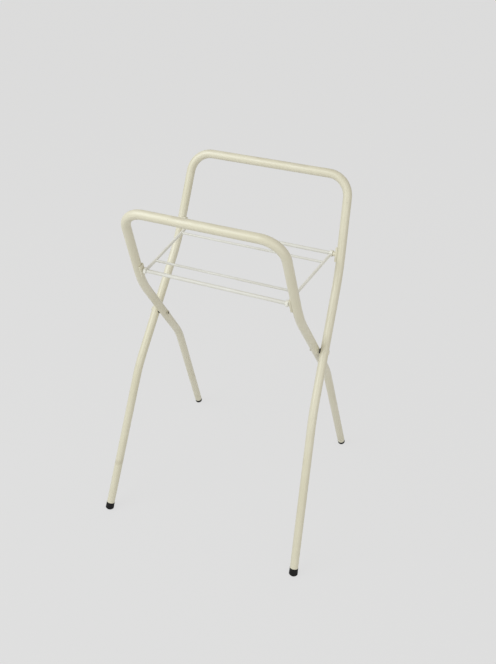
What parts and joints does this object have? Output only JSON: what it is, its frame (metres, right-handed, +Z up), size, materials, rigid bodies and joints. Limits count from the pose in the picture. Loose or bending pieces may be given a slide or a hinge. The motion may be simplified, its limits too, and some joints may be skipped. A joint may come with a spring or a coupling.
{
  "type": "baby bath stand",
  "caption": "Folding bath tub stand: crossed bent tube frames riveted like scissors, with a swinging wire rack hooked between the legs.",
  "frame": {"origin": "middle of the floor footprint, on the floor", "axes": "+X to the right of someone in front, +Y to the back, +Z up"},
  "size_m": [0.5898, 0.5578, 0.9393],
  "materials": {
    "cream_tube": "cream baked enamel, satin",
    "cream_fittings": "cream enamel, satin",
    "black_cap": "black moulded cap, dull",
    "dark_spacer": "dark moulded spacer",
    "plain_steel": "plain pressed steel",
    "pale_wire": "off-white coated wire"
  },
  "bodies": {
    "outer_frame": {"outer_frame": "cream_tube", "foot_cap_front_left": "black_cap", "foot_cap_front_right": "black_cap", "pivot_rivet_left": "cream_fittings", "pivot_rivet_right": "cream_fittings", "pivot_spacer_left": "dark_spacer", "pivot_spacer_right": "dark_spacer", "tail_washer_left": "plain_steel", "tail_washer_right": "plain_steel", "rear_rod": "pale_wire", "rod_bracket_rear_left": "cream_fittings", "rod_bracket_rear_right": "cream_fittings", "bracket_rivets_rear_left": "plain_steel", "bracket_rivets_rear_right": "plain_steel"},
    "inner_frame": {"inner_frame": "cream_tube", "foot_cap_back_left": "black_cap", "foot_cap_back_right": "black_cap", "front_rod": "pale_wire", "rod_bracket_front_left": "cream_fittings", "rod_bracket_front_right": "cream_fittings", "bracket_rivets_front_left": "plain_steel", "bracket_rivets_front_right": "plain_steel"},
    "rack": {"rack_rail_left": "pale_wire", "rack_rail_right": "pale_wire", "rack_wire_front": "pale_wire", "rack_wire_back": "pale_wire"}
  },
  "joints": [
    {"name": "frame_fold", "type": "hinge", "parent": "outer_frame", "child": "inner_frame", "pos_m": [0, 0, 0.54246], "axis": [-1, 0, 0], "range_deg": [0, 34.5]},
    {"name": "rack_swing", "type": "hinge", "parent": "outer_frame", "child": "rack", "pos_m": [0, 0.13474, 0.748], "axis": [-1, 0, 0], "range_deg": [0, 103.5]}
  ],
  "couplings": [
    {"joint": "rack_swing", "follows": "frame_fold", "ratio": 3}
  ]
}
